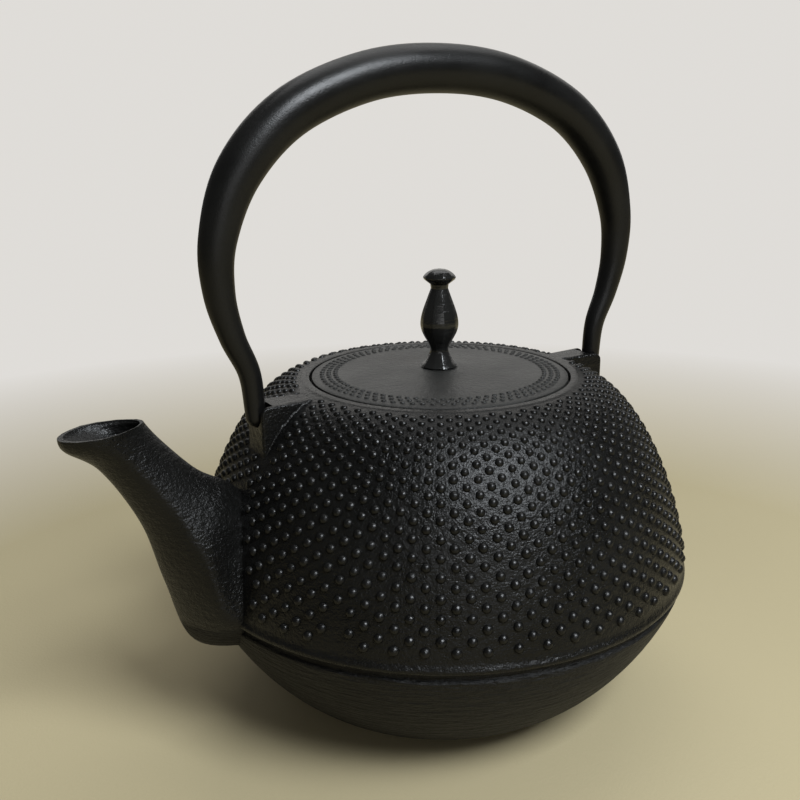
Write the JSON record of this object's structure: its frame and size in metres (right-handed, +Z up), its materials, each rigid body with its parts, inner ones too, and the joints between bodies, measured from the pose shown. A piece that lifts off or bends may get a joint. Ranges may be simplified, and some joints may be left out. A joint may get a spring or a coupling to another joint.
{
  "type": "cast iron kettle",
  "caption": "Round cast-iron water kettle with a hollow pouring spout, a lift-off lid with a tall knob and an arched carrying bail.",
  "frame": {"origin": "centre of the flat foot, on the body's axis, where the kettle stands", "axes": "+Z up, the spout towards -X, and the bail in the XZ plane"},
  "size_m": [0.2393, 0.1922, 0.2467],
  "materials": {
    "body_iron": "satin black lacquered casting with a fine sandy skin",
    "lid_iron": "smooth satin dark grey casting",
    "knob_iron": "filed flats with a soft gloss",
    "washer_steel": "dull dark steel",
    "bail_iron": "smooth satin black forging"
  },
  "bodies": {
    "kettle": {"kettle_body": "body_iron", "spout": "body_iron"},
    "lid": {"lid": "lid_iron", "knob": "knob_iron", "knob_washer": "washer_steel"},
    "bail": {"bail": "bail_iron"}
  },
  "joints": [
    {"name": "bail_swing", "type": "hinge", "parent": "kettle", "child": "bail", "pos_m": [0, 0, 0.1217], "axis": [1, 0, 0], "range_deg": [-15, 15]},
    {"name": "lid_lift", "type": "slide", "parent": "kettle", "child": "lid", "axis": [0, 0, 1], "range_m": [0, 0.045]}
  ]
}
